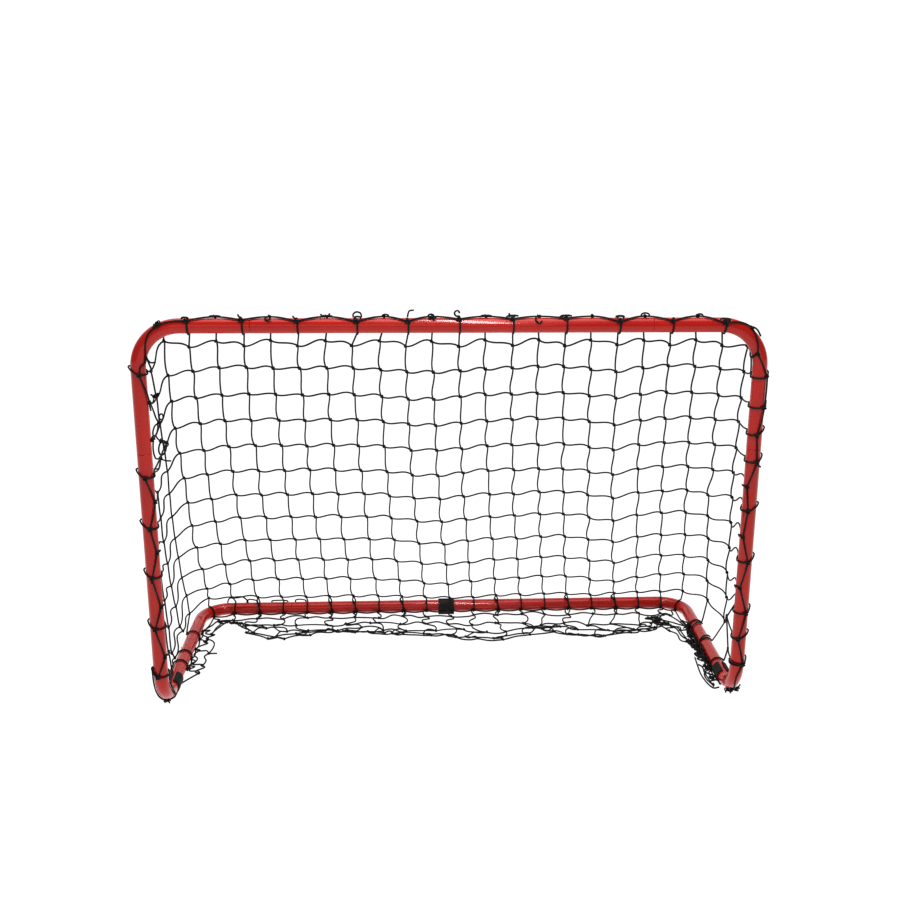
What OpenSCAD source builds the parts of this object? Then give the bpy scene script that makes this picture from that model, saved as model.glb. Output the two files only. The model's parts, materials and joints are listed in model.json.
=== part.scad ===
// Portable soccer goal: a knock-down frame of round steel tube with a knotted net.
// Millimetres, +Z up, +Y towards the back of the goal, origin on the floor at the
// middle of the whole goal.

/* [Goal] */
// Clear width between the posts
inner_w = 1800; // [1500:10:2400]
// Clear height under the crossbar
inner_h = 1230; // [1000:10:1600]
// Depth from the front frame's axis to the rear bar's axis
depth = 740; // [650:10:1000]

/* [Tube] */
// Outside diameter of the tube
tube_d = 44.5; // [40:0.5:50]
// Wall thickness of the tube
wall = 1.5; // [1.2:0.1:2]
// Bend radius of the top corners, at the tube's axis
top_bend_r = 125; // [110:5:160]
// Bend radius of the feet, at the tube's axis
foot_bend_r = 120; // [110:5:160]
// Bend radius of the rear corners, at the tube's axis
rear_bend_r = 100; // [90:5:140]

/* [Push-fit joints] */
// Half the length of the straight crossbar and rear bar sections
bar_half = 590; // [500:5:600]
// Height of the joint in each post
post_split = 870; // [820:5:900]
// Distance of each side tube's joint behind the front frame
side_split = 440; // [400:5:450]
// Length of each swaged end
swage_l = 60; // [50:1:80]
// Radial clearance of a swaged end in its socket
swage_gap = 0.1; // [0.05:0.01:0.3]
// Width of the neck left showing at each joint
neck_w = 2.5; // [1:0.5:5]

/* [Snap buttons] */
// Diameter of a button
button_d = 8; // [6:0.5:9]
// How far a button stands out of the tube
button_out = 4; // [3:0.5:5]
// Thickness of the spring strip
strip_t = 1.2; // [0.8:0.1:1.5]
// Width of the spring strip
strip_w = 9; // [6:1:10]

/* [Floor pads] */
// Length of a floor pad along its tube
pad_l = 60; // [40:5:70]
// Thickness of a floor pad under the tube
pad_base = 8; // [6:1:12]
// Thickness of a floor pad around the tube
pad_side = 4.5; // [3:0.5:8]
// Distance of the side pads behind the front frame
pad_back = 155; // [150:5:160]

/* [Net] */
// Diameter of the net twine
twine_d = 5; // [3:0.5:5]
// Row spacing of the net
mesh_h = 120; // [100:5:130]
// Column spacing of the net on the crossbar
mesh_w = 78; // [70:1:85]
// Spacing of the net's border loops on the posts, side tubes and rear bar
border_step = 90; // [80:1:110]
// Width of the slack net on the floor inside the rear bar
skirt_w = 215; // [120:5:260]
// Width of the slack net on the floor inside each side tube
side_skirt_w = 80; // [60:5:100]

/* [Hidden] */
$fn = 64;

RED = [0.78, 0.1, 0.06];
RUBBER = [0.09, 0.09, 0.1];
STEEL = [0.7, 0.71, 0.72];
TWINE = [0.05, 0.05, 0.06];

tube_r = tube_d / 2;
bore_r = tube_r - wall;
post_x = inner_w / 2 + tube_r;        // axis of each post and side tube
front_y = -depth / 2;                 // axis plane of the front frame
rear_y = depth / 2;                   // axis of the rear bar
ground_z = pad_base + tube_r;         // axis of the ground tubes
top_z = inner_h + tube_r;             // axis of the crossbar
side_y = front_y + side_split;        // mouth of each side socket

swage_r = bore_r - swage_gap;         // outside of a swaged end
swage_bore_r = swage_r - wall;
shoulder_l = 0.8 * neck_w;            // taper from the tube down to its swaged end

button_at = swage_l / 2;              // button's distance inside the socket
button_gap = 0.2;                     // radial clearance of a button in its holes
button_top = tube_r + button_out;     // top of a button, from the tube's axis
dome_h = 1.2;                         // height of a button's bevelled head
flange_t = 1.2;                       // flange that keeps a button inside the tube
flange_r = button_d / 2 + 1.5;
leaf_drop = 2.55;                     // spring leaf's upper face, below the swaged end's bore
leaf_top = swage_bore_r - leaf_drop;
leaf_foot = 1;                        // lower leaf's distance from the far wall
leaf_over = 9;                        // leaves' free ends, past the button
leaf_flat = 8;                        // flat part of the upper leaf, before the button
v_bend_r = 2.4;                       // bend of the V spring
v_bend_z = -22;                       // and its place along the tube, from the socket's mouth

pad_gap = 0.05;                       // clearance of a floor pad on its tube
pad_mouth_a = 15;                     // half the angle of the slit along a floor pad's top
pad_foot_w = 1.3 * tube_r;            // width of a floor pad's flat underside

twine_r = twine_d / 2;
loop_gap = 0.5;                       // clearance of a twine loop round its tube
loop_r = tube_r + loop_gap + twine_r; // centre line of a twine loop
net_clear = button_top + twine_d;     // net panels start this far from a tube's axis
floor_z = 0.5;                        // underside of the slack net on the floor
slope_l = norm([depth, top_z - ground_z]);
slope_a = atan2(depth, top_z - ground_z);

// Flat strip w wide between two points of a plane, with square ends half a width past them
module strand(p, q, w = twine_d) {
    d = q - p;
    translate(p) rotate(atan2(d.y, d.x)) translate([-w / 2, -w / 2]) square([norm(d) + w, w]);
}

// ---------------------------------------------------------------- tube pieces

// Straight solid bar along +Z
module rod(r, l) {
    cylinder(r = r, h = l);
}

// Quarter bend in the XZ plane: starts at the origin along +Z, turns towards +X
module elbow(r, bend_r) {
    translate([bend_r, 0, 0]) rotate([90, 0, 0]) rotate([0, 0, 90])
        rotate_extrude(angle = 90) translate([bend_r, 0]) circle(r = r);
}

// Solid L shape: straight a, quarter bend, straight b; starts at the origin along +Z
module ell(r, a, bend_r, b) {
    rod(r, a);
    translate([0, 0, a]) elbow(r, bend_r);
    translate([bend_r, 0, a + bend_r]) rotate([0, 90, 0]) rod(r, b);
}

// Outside of a swaged end, with its tapered shoulder at z = 0
module swage() {
    cylinder(r1 = tube_r, r2 = swage_r, h = shoulder_l);
    translate([0, 0, shoulder_l]) rod(swage_r, neck_w + swage_l - shoulder_l);
}

// Bore of a swaged end, matching swage()
module swage_bore() {
    cylinder(r1 = bore_r, r2 = swage_bore_r, h = shoulder_l);
    translate([0, 0, shoulder_l]) rod(swage_bore_r, neck_w + swage_l - shoulder_l);
}

// Hole for a snap button, along +X from the tube's axis
module button_hole() {
    rotate([0, 90, 0]) cylinder(r = button_d / 2 + button_gap, h = tube_d);
}

// Frames of the joints. Each has its origin on the socket's mouth, +Z along the socket
// into it, and +X out through the button.
module at_top_joint() {
    translate([bar_half, front_y, top_z]) rotate([0, -90, 0]) rotate([0, 0, 90]) children();
}
module at_post_joint() {
    translate([post_x, front_y, post_split]) rotate([0, 0, 90]) children();
}
module at_side_joint() {
    translate([post_x, side_y, ground_z]) rotate([90, 0, 0]) children();
}
module at_rear_joint() {
    translate([bar_half, rear_y, ground_z]) rotate([0, -90, 0]) rotate([0, 0, 90]) children();
}

// Swaged end at a joint, from the shoulder to the tip, and the bore inside it
module plug_at_joint() {
    translate([0, 0, -neck_w]) swage();
}
module plug_bore_at_joint() {
    translate([0, 0, -neck_w]) swage_bore();
}

// Straight bar section with a plain socket at each end
module bar_section() {
    difference() {
        translate([-bar_half, 0, 0]) rotate([0, 90, 0]) rod(tube_r, 2 * bar_half);
        translate([-bar_half, 0, 0]) rotate([0, 90, 0]) rod(bore_r, 2 * bar_half);
        for (s = [-1, 1])
            translate([s * (bar_half - button_at), 0, 0]) rotate([0, 0, 90]) button_hole();
    }
}

module crossbar() {
    color(RED) translate([0, front_y, top_z]) bar_section();
}

module rear_bar() {
    color(RED) translate([0, rear_y, ground_z]) bar_section();
}

// Post above its joint, top corner, and the stub that plugs into the crossbar (right side)
module top_corner() {
    up = top_z - top_bend_r - post_split;
    in = post_x - top_bend_r - bar_half - neck_w;
    color(RED) difference() {
        union() {
            translate([post_x, front_y, post_split]) rotate([0, 0, 180])
                ell(tube_r, up, top_bend_r, in);
            at_top_joint() plug_at_joint();
        }
        translate([post_x, front_y, post_split]) rotate([0, 0, 180])
            ell(bore_r, up, top_bend_r, in);
        at_top_joint() plug_bore_at_joint();
        at_top_joint() translate([0, 0, button_at]) button_hole();
        at_post_joint() translate([0, 0, button_at]) button_hole();
    }
}

// Post below its joint, foot bend, and the front half of the side tube (right side)
module lower_post() {
    up = post_split - neck_w - ground_z - foot_bend_r;
    back = side_split - foot_bend_r;
    color(RED) difference() {
        union() {
            translate([post_x, front_y, post_split - neck_w]) rotate([180, 0, 0]) rotate([0, 0, -90])
                ell(tube_r, up, foot_bend_r, back);
            at_post_joint() plug_at_joint();
        }
        translate([post_x, front_y, post_split - neck_w]) rotate([180, 0, 0]) rotate([0, 0, -90])
            ell(bore_r, up, foot_bend_r, back);
        at_post_joint() plug_bore_at_joint();
        at_post_joint() translate([0, 0, button_at]) button_hole();
        at_side_joint() translate([0, 0, button_at]) button_hole();
    }
}

// Rear half of the side tube, rear corner, and the stub into the rear bar (right side)
module rear_corner() {
    back = depth - side_split - neck_w - rear_bend_r;
    in = post_x - rear_bend_r - bar_half - neck_w;
    color(RED) difference() {
        union() {
            translate([post_x, side_y + neck_w, ground_z]) rotate([-90, 0, 0]) rotate([0, 0, 180])
                ell(tube_r, back, rear_bend_r, in);
            at_side_joint() plug_at_joint();
            at_rear_joint() plug_at_joint();
        }
        translate([post_x, side_y + neck_w, ground_z]) rotate([-90, 0, 0]) rotate([0, 0, 180])
            ell(bore_r, back, rear_bend_r, in);
        at_side_joint() plug_bore_at_joint();
        at_rear_joint() plug_bore_at_joint();
        at_side_joint() translate([0, 0, button_at]) button_hole();
        at_rear_joint() translate([0, 0, button_at]) button_hole();
    }
}

// Draws its child on the right (+X) or mirrored to the left
module on_side(left) {
    if (left) mirror([1, 0, 0]) children();
    else children();
}

// ---------------------------------------------------------------- snap buttons

// Steel button with a flange under the tube wall and a rounded head
module snap_button() {
    shaft_l = button_top - leaf_top;
    color(STEEL) translate([0, 0, button_at]) rotate([0, 90, 0]) translate([0, 0, leaf_top]) {
        cylinder(r = flange_r, h = flange_t);
        cylinder(r = button_d / 2, h = shaft_l - dome_h);
        translate([0, 0, shaft_l - dome_h])
            cylinder(r1 = button_d / 2, r2 = button_d / 2 - dome_h, h = dome_h);
    }
}

// V spring of steel strip: the upper leaf carries the button, the lower one bears on the
// far wall, and the bend lies deeper in the tube
module snap_spring() {
    upper = leaf_top - strip_t / 2;
    lower = swage_bore_r - leaf_foot - strip_t / 2;
    tip = button_at + leaf_over;
    bend = [for (a = [0 : -30 : -180]) [v_bend_r * cos(a), v_bend_z + v_bend_r * sin(a)]];
    leaf = concat(
        [[upper, tip], [upper, button_at - leaf_flat]], bend, [[-lower, button_at], [-lower, tip]]
    );
    color(STEEL) rotate([90, 0, 0]) linear_extrude(strip_w, center = true)
        for (i = [0 : len(leaf) - 2]) strand(leaf[i], leaf[i + 1], strip_t);
}

// ---------------------------------------------------------------- floor pads

// Rubber sleeve, slit along its top and clipped round a tube that runs along +Z; +X is down
module floor_pad() {
    grip_r = tube_r + pad_gap;
    outer_r = tube_r + pad_side;
    mouth = 2 * outer_r;
    color(RUBBER) linear_extrude(pad_l, center = true) difference() {
        union() {
            circle(r = outer_r);
            translate([0, -pad_foot_w / 2]) square([ground_z, pad_foot_w]);
        }
        circle(r = grip_r);
        polygon([[0, 0], [-mouth, -mouth * tan(pad_mouth_a)], [-mouth, mouth * tan(pad_mouth_a)]]);
    }
}

module floor_pad_side() {
    translate([post_x, front_y + pad_back, ground_z]) rotate([90, 0, 0]) rotate([0, 0, -90]) floor_pad();
}

module floor_pad_rear() {
    translate([0, rear_y, ground_z]) rotate([0, 90, 0]) floor_pad();
}

// ---------------------------------------------------------------- net

// Strands along a closed outline
module outline(pts) {
    n = len(pts);
    for (i = [0 : n - 1]) strand(pts[i], pts[(i + 1) % n]);
}

// Back panel, drawn in its plane with y down the slope from the crossbar's axis
module back_panel() {
    half_top = post_x - top_bend_r;
    half_mid = post_x - net_clear;
    half_low = post_x - rear_bend_r - twine_d;
    top = net_clear;
    low = slope_l - net_clear;
    top_cut = top_bend_r - twine_d;
    low_cut = rear_bend_r - net_clear;
    border = [
        [-half_top, top], [half_top, top], [half_mid, top + top_cut], [half_mid, low - low_cut],
        [half_low, low], [-half_low, low], [-half_mid, low - low_cut], [-half_mid, top + top_cut]
    ];
    columns = floor(half_low / mesh_w);
    rows = floor((low - top) / mesh_h);
    outline(border);
    intersection() {
        polygon(border);
        union() {
            for (i = [-columns : columns]) strand([i * mesh_w, 0], [i * mesh_w, slope_l]);
            for (i = [1 : rows]) strand([-post_x, i * mesh_h], [post_x, i * mesh_h]);
        }
    }
}

module net_back() {
    color(TWINE) translate([0, front_y, top_z]) rotate([slope_a - 90, 0, 0])
        linear_extrude(twine_d, center = true) back_panel();
}

// Side panel in the YZ plane: x is Y from the front frame, y is Z from the side tube
module side_panel() {
    rise = top_z - ground_z;
    low = net_clear;
    curve_r = foot_bend_r - net_clear;
    corner = [for (a = [180 : 15 : 270]) [foot_bend_r + curve_r * cos(a), foot_bend_r + curve_r * sin(a)]];
    margin = 2 * net_clear;           // keeps the sloping edge off the back panel
    border = concat(corner, [
        [depth * (1 - (low + margin) / rise), low],
        [low, rise * (1 - low / depth) - margin]
    ]);
    outline(border);
    intersection() {
        polygon(border);
        translate([0, rise]) rotate(slope_a) union() {
            for (i = [1 : floor(depth / mesh_h)]) strand([-i * mesh_h, -slope_l], [-i * mesh_h, 0]);
            for (i = [1 : floor(slope_l / mesh_h)]) strand([-depth, -i * mesh_h], [0, -i * mesh_h]);
        }
    }
}

module net_side() {
    color(TWINE) translate([post_x - twine_r, front_y, ground_z]) rotate([90, 0, 90])
        linear_extrude(twine_d) side_panel();
}

// Slack net lying flat on the floor: a grid of strands w by l, seen from above
module floor_net(w, l) {
    across = ceil(w / mesh_w);
    along = max(1, round(l / mesh_w));
    for (i = [0 : across]) strand([i * w / across, 0], [i * w / across, l]);
    for (i = [0 : along]) strand([0, i * l / along], [w, i * l / along]);
}

module net_skirt_rear() {
    half = post_x - rear_bend_r - twine_d;
    color(TWINE) translate([-half, rear_y - net_clear - skirt_w, floor_z])
        linear_extrude(twine_d) floor_net(2 * half, skirt_w);
}

module net_skirt_side() {
    l = depth - foot_bend_r - net_clear - skirt_w - side_skirt_w;
    color(TWINE) translate([post_x - net_clear - side_skirt_w, front_y + foot_bend_r, floor_z])
        linear_extrude(twine_d) floor_net(side_skirt_w, l);
}

// Loop of twine round a tube that runs along +Z
module twine_loop() {
    rotate_extrude($fn = 48) translate([loop_r, 0]) circle(r = twine_r, $fn = 16);
}

module net_loops_top() {
    n = floor((post_x - top_bend_r) / mesh_w);
    color(TWINE) for (i = [-n : n])
        translate([i * mesh_w, front_y, top_z]) rotate([0, 90, 0]) twine_loop();
}

module net_loops_side() {
    low = ground_z + foot_bend_r + border_step / 2;
    front = pad_back + pad_l / 2 + border_step / 4;
    post_n = floor((top_z - top_bend_r - low) / border_step);
    side_n = floor((depth - rear_bend_r - front) / border_step);
    color(TWINE) {
        for (i = [0 : post_n]) translate([post_x, front_y, low + i * border_step]) twine_loop();
        for (i = [0 : side_n]) translate([post_x, front_y + front + i * border_step, ground_z])
            rotate([90, 0, 0]) twine_loop();
    }
}

module net_loops_rear() {
    first = border_step / 2;
    n = floor((post_x - rear_bend_r - first) / border_step);
    color(TWINE) for (i = [0 : n], s = [-1, 1])
        translate([s * (first + i * border_step), rear_y, ground_z]) rotate([0, 90, 0]) twine_loop();
}

// Tie that pulls the net's lower corner down to the foot bend
module foot_tie() {
    color(TWINE) translate([post_x, front_y + foot_bend_r, ground_z + foot_bend_r])
        rotate([225, 0, 0]) translate([0, foot_bend_r, 0]) twine_loop();
}

// ---------------------------------------------------------------- the nodes

crossbar();
on_side(true) top_corner();  // top_corner_left
on_side(false) top_corner();  // top_corner_right
on_side(true) lower_post();  // lower_post_left
on_side(false) lower_post();  // lower_post_right
on_side(true) rear_corner();  // rear_corner_left
on_side(false) rear_corner();  // rear_corner_right
rear_bar();
on_side(true) floor_pad_side();  // floor_pad_left
on_side(false) floor_pad_side();  // floor_pad_right
floor_pad_rear();
on_side(true) at_top_joint() snap_button();  // button_top_left
on_side(false) at_top_joint() snap_button();  // button_top_right
on_side(true) at_post_joint() snap_button();  // button_post_left
on_side(false) at_post_joint() snap_button();  // button_post_right
on_side(true) at_side_joint() snap_button();  // button_side_left
on_side(false) at_side_joint() snap_button();  // button_side_right
on_side(true) at_rear_joint() snap_button();  // button_rear_left
on_side(false) at_rear_joint() snap_button();  // button_rear_right
on_side(true) at_top_joint() snap_spring();  // spring_top_left
on_side(false) at_top_joint() snap_spring();  // spring_top_right
on_side(true) at_post_joint() snap_spring();  // spring_post_left
on_side(false) at_post_joint() snap_spring();  // spring_post_right
on_side(true) at_side_joint() snap_spring();  // spring_side_left
on_side(false) at_side_joint() snap_spring();  // spring_side_right
on_side(true) at_rear_joint() snap_spring();  // spring_rear_left
on_side(false) at_rear_joint() snap_spring();  // spring_rear_right
net_back();
on_side(true) net_side();  // net_side_left
on_side(false) net_side();  // net_side_right
net_skirt_rear();
on_side(true) net_skirt_side();  // net_skirt_left
on_side(false) net_skirt_side();  // net_skirt_right
net_loops_top();
on_side(true) net_loops_side();  // net_loops_left
on_side(false) net_loops_side();  // net_loops_right
net_loops_rear();
on_side(true) foot_tie();  // foot_tie_left
on_side(false) foot_tie();  // foot_tie_right
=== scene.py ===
"""Portable soccer goal: glossy red tube frame with a slack, knotted black net.

Metres, in the frame's own axes: +X along the crossbar, +Y towards the back, +Z up.
"""

import json
import math
import random

import bpy
import numpy as np
from mathutils import Matrix, Vector


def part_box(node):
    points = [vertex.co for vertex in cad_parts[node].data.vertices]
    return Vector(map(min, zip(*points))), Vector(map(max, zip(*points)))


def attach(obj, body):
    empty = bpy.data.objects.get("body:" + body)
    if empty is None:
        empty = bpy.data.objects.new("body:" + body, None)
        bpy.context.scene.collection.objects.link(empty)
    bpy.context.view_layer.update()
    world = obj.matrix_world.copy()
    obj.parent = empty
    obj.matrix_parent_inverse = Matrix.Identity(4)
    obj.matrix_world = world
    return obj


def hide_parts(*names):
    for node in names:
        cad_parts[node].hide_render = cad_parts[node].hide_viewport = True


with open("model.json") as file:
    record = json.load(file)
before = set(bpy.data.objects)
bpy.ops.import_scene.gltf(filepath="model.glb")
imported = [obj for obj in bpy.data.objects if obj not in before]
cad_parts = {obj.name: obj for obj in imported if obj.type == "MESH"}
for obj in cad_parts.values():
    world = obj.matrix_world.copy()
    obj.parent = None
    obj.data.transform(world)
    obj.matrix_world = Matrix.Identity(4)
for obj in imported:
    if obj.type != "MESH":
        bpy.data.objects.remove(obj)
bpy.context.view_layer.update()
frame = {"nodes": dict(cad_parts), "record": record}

NET_SEED, SKIRT_SEED, TANGLE_SEED = 7, 31, 5
rng = random.Random(NET_SEED)


# -------- dimensions

bar_low, bar_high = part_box("crossbar")
rear_low, rear_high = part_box("rear_bar")

TUBE_R = (bar_high.z - bar_low.z) / 2
FRONT_Y = (bar_low.y + bar_high.y) / 2
TOP_Z = (bar_low.z + bar_high.z) / 2
REAR_Y = (rear_low.y + rear_high.y) / 2
GROUND_Z = (rear_low.z + rear_high.z) / 2
POST_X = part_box("lower_post_right")[1].x - TUBE_R
DEPTH = REAR_Y - FRONT_Y

TOP_BEND_R = 0.125
FOOT_BEND_R = 0.120
REAR_BEND_R = 0.100

TWINE_R = 0.0025
WRAP_R = TUBE_R + TWINE_R + 0.0006     # centre line of twine lying on a tube
FLOOR_LIE = TWINE_R + 0.0004           # centre line of twine lying on the floor
FLOOR_GAP = 0.0003                     # least gap between the floor and a strand
PAD_BASE = 0.008                       # the pads lift the tubes this far off the floor


def vec(x, y, z):
    return np.array([x, y, z], float)


RIGHT, BACK, UP = vec(1, 0, 0), vec(0, 1, 0), vec(0, 0, 1)
SLOPE_L = math.hypot(DEPTH, TOP_Z - GROUND_Z)
SLOPE = vec(0, DEPTH, GROUND_Z - TOP_Z) / SLOPE_L      # down the back panel
NORMAL = np.cross(RIGHT, SLOPE)                        # out of the back panel


def hump(value, at, width):
    return math.exp(-((value - at) / width) ** 2)


def wobble(amount):
    return rng.uniform(-amount, amount)


# -------- tube centre lines

BEND_POINTS = 9


def arc(centre, start, end):
    """Points of a quarter circle from centre + start to centre + end."""
    return [
        centre + start * math.cos(a) + end * math.sin(a)
        for a in np.linspace(0, math.pi / 2, BEND_POINTS)
    ]


def half_frame(side):
    """Centre line from the middle of the crossbar, down the post and back to the rear bar."""
    x = side * POST_X
    out = vec(side, 0, 0)
    top = vec(x - side * TOP_BEND_R, FRONT_Y, TOP_Z - TOP_BEND_R)
    foot = vec(x, FRONT_Y + FOOT_BEND_R, GROUND_Z + FOOT_BEND_R)
    rear = vec(x - side * REAR_BEND_R, REAR_Y - REAR_BEND_R, GROUND_Z)
    line = [vec(0, FRONT_Y, TOP_Z)]
    line += arc(top, UP * TOP_BEND_R, out * TOP_BEND_R)
    line += arc(foot, -BACK * FOOT_BEND_R, -UP * FOOT_BEND_R)
    line += arc(rear, out * REAR_BEND_R, BACK * REAR_BEND_R)
    line.append(vec(0, REAR_Y, GROUND_Z))
    return np.array(line)


AXES = [half_frame(-1), half_frame(1)]
SEG_A = np.concatenate([a[:-1] for a in AXES])
SEG_D = np.concatenate([a[1:] - a[:-1] for a in AXES])
SEG_LL = (SEG_D ** 2).sum(1)


def off_tubes(points):
    """Moves points that are too close to a tube out to its surface."""
    rel = points[:, None] - SEG_A
    t = np.clip((rel * SEG_D).sum(2) / SEG_LL, 0, 1)
    foot = SEG_A + t[..., None] * SEG_D
    away = points[:, None] - foot
    dist = np.sqrt((away ** 2).sum(2))
    k = dist.argmin(1)
    rows = np.arange(len(points))
    near, gap = foot[rows, k], dist[rows, k]
    push = gap < WRAP_R
    unit = away[rows, k] / np.maximum(gap, 1e-6)[:, None]
    points = points.copy()
    points[push] = near[push] + unit[push] * WRAP_R
    return points


# -------- twine


class Twine:
    """Collects strands and knots, and sweeps them into one mesh."""

    def __init__(self):
        self.lines = []

    def add(self, points, radius=TWINE_R, closed=False, sides=6, wrap=True):
        points = np.array(points, float)
        if wrap:
            points = off_tubes(points)
        points[:, 2] = np.maximum(points[:, 2], radius + FLOOR_GAP)
        self.lines.append((points, radius, closed, sides))

    def curve(self, points, steps=5):
        self.add(catmull(points, steps))


def catmull(points, steps, closed=False):
    """Smooth curve through the points, with so many steps between each two."""
    p = np.array(points, float)
    if closed:
        p = np.concatenate([p[-1:], p, p[:2]])
    else:
        p = np.concatenate([2 * p[:1] - p[1:2], p, 2 * p[-1:] - p[-2:-1]])
    out = []
    for i in range(1, len(p) - 2):
        a, b, c, d = p[i - 1], p[i], p[i + 1], p[i + 2]
        for k in range(steps):
            t = k / steps
            out.append(0.5 * (2 * b + (c - a) * t + (2 * a - 5 * b + 4 * c - d) * t ** 2
                              + (3 * b - a - 3 * c + d) * t ** 3))
    if not closed:
        out.append(p[-2])
    return np.array(out)


BAR_POINTS = 11


def hermite(a, b, da, db):
    """Cubic from a to b with tangents da and db."""
    t = np.linspace(0, 1, BAR_POINTS)[:, None]
    return ((2 * t ** 3 - 3 * t ** 2 + 1) * a + (t ** 3 - 2 * t ** 2 + t) * da
            + (3 * t ** 2 - 2 * t ** 3) * b + (t ** 3 - t ** 2) * db)


def sweep(points, radius, closed, sides):
    """Vertices, faces and (round, along) coordinates of a tube along the points."""
    n = len(points)
    if closed:
        tangents = np.roll(points, -1, 0) - np.roll(points, 1, 0)
    else:
        tangents = np.gradient(points, axis=0)
    tangents /= np.maximum(np.linalg.norm(tangents, axis=1), 1e-9)[:, None]
    ref = np.eye(3)[np.abs(tangents[0]).argmin()]
    normal = np.cross(tangents[0], ref)
    normals = []
    for t in tangents:
        normal = normal - t * (normal @ t)
        normal = normal / max(np.linalg.norm(normal), 1e-9)
        normals.append(normal)
    normals = np.array(normals)
    bitangents = np.cross(tangents, normals)
    twist = 0.0
    if closed:
        last = normals[-1] - tangents[0] * (normals[-1] @ tangents[0])
        twist = math.atan2(last @ bitangents[0], last @ normals[0])
    angle = np.arange(sides) * 2 * math.pi / sides
    turn = -twist * np.arange(n) / n
    a = (angle + turn[:, None])[..., None]
    ring = normals[:, None] * np.cos(a) + bitangents[:, None] * np.sin(a)
    verts = (points[:, None] + radius * ring).reshape(-1, 3)
    along = np.concatenate([[0], np.cumsum(np.linalg.norm(np.diff(points, axis=0), axis=1))])
    faces = []
    for i in range(n if closed else n - 1):
        j = (i + 1) % n
        for k in range(sides):
            m = (k + 1) % sides
            faces.append((i * sides + k, i * sides + m, j * sides + m, j * sides + k))
    if not closed:
        faces.append(tuple(range(sides))[::-1])
        faces.append(tuple((n - 1) * sides + k for k in range(sides)))
    uv = np.stack([np.tile(angle / (2 * math.pi), n), np.repeat(along, sides)], 1)
    return verts, faces, uv


def smooth_mesh(name, verts, faces):
    mesh = bpy.data.meshes.new(name)
    mesh.from_pydata(verts, [], faces)
    mesh.polygons.foreach_set("use_smooth", [True] * len(mesh.polygons))
    return mesh


def new_object(name, data):
    obj = bpy.data.objects.new(name, data)
    bpy.context.scene.collection.objects.link(obj)
    return obj


def make_twine(name, twine, node):
    """One mesh object from a Twine, in place of a CAD node."""
    verts, faces, uvs, base = [], [], [], 0
    for line in twine.lines:
        v, f, uv = sweep(*line)
        verts.append(v)
        uvs.append(uv)
        faces += [tuple(base + k for k in face) for face in f]
        base += len(v)
    mesh = smooth_mesh(name, np.concatenate(verts).tolist(), faces)
    lay = mesh.attributes.new("twine_uv", "FLOAT2", "POINT")
    lay.data.foreach_set("vector", np.concatenate(uvs).astype(np.float32).ravel())
    mesh.update()
    mesh.materials.append(SLOT_MATERIALS["net_twine"])
    obj = new_object(name, mesh)
    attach(obj, "goal")
    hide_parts(node)


KNOT_POINTS = 20
KNOT_SIZE = 0.70             # of the twine's radius, for the trefoil's curve
KNOT_TWINE = 0.8             # twine pulled tight is thinner


def knot(twine, centre, right, up, size=1.0):
    """Tight netting knot: a small trefoil of twine, leaning from upper left to lower right."""
    right = right / np.linalg.norm(right)
    up = up - right * (up @ right)
    up = up / np.linalg.norm(up)
    out = np.cross(right, up)
    lean = rng.uniform(-0.5, -0.25) * math.pi
    e1 = math.cos(lean) * right + math.sin(lean) * up
    e2 = -math.sin(lean) * right + math.cos(lean) * up
    t = np.linspace(0, 2 * math.pi, KNOT_POINTS, endpoint=False)[:, None]
    s = size * TWINE_R * KNOT_SIZE
    pts = centre + s * ((np.sin(t) + 2 * np.sin(2 * t)) * e1 * 1.05
                        + (np.cos(t) - 2 * np.cos(2 * t)) * e2 * 0.85
                        - np.sin(3 * t) * out)
    twine.add(pts, radius=KNOT_TWINE * TWINE_R, closed=True, sides=5, wrap=False)


def tail(twine, start, direction, length, bend):
    """Short free end of twine."""
    direction = direction / np.linalg.norm(direction)
    side = np.cross(direction, vec(rng.uniform(-1, 1), rng.uniform(-1, 1), 0.3))
    side /= np.linalg.norm(side)
    t = np.linspace(0, 1, 6)[:, None]
    twine.add(start + direction * length * t * (1 - 0.3 * bend * t)
              + side * bend * length * 0.5 * t ** 2)


# -------- materials


class Surface:
    """Principled material whose textures lie in the object's own coordinates."""

    def __init__(self, name):
        self.material = bpy.data.materials.new(name)
        self.material.use_nodes = True
        self.nodes = self.material.node_tree.nodes
        self.links = self.material.node_tree.links
        self.shader = self.nodes["Principled BSDF"].inputs
        self.where = self.nodes.new("ShaderNodeTexCoord").outputs["Object"]

    def set(self, **values):
        """Values that are the same all over, on the shader's own sockets."""
        for name, value in values.items():
            self.shader[name.replace("_", " ")].default_value = value

    def link(self, value, name):
        self.links.new(value, self.shader[name])

    def noise(self, scale, detail=4.0, roughness=0.5):
        node = self.nodes.new("ShaderNodeTexNoise")
        node.inputs["Scale"].default_value = scale
        node.inputs["Detail"].default_value = detail
        node.inputs["Roughness"].default_value = roughness
        self.links.new(self.where, node.inputs["Vector"])
        return node.outputs["Fac"]

    def ramp(self, value, low, high, from_colour, to_colour):
        node = self.nodes.new("ShaderNodeValToRGB")
        stops = (low, from_colour), (high, to_colour)
        for element, (position, colour) in zip(node.color_ramp.elements, stops):
            element.position = position
            element.color = (*colour, 1)
        self.links.new(value, node.inputs["Fac"])
        return node.outputs["Color"]

    def bump(self, height, strength, distance, below=None):
        node = self.nodes.new("ShaderNodeBump")
        node.inputs["Strength"].default_value = strength
        node.inputs["Distance"].default_value = distance
        self.links.new(height, node.inputs["Height"])
        if below is not None:
            self.links.new(below, node.inputs["Normal"])
        return node.outputs["Normal"]

    def math(self, operation, value, *numbers):
        """Math node on a value and what follows it: numbers, or outputs of other nodes."""
        node = self.nodes.new("ShaderNodeMath")
        node.operation = operation
        self.links.new(value, node.inputs[0])
        for socket, number in zip(list(node.inputs)[1:], numbers):
            if isinstance(number, float):
                socket.default_value = number
            else:
                self.links.new(number, socket)
        return node.outputs[0]


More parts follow.
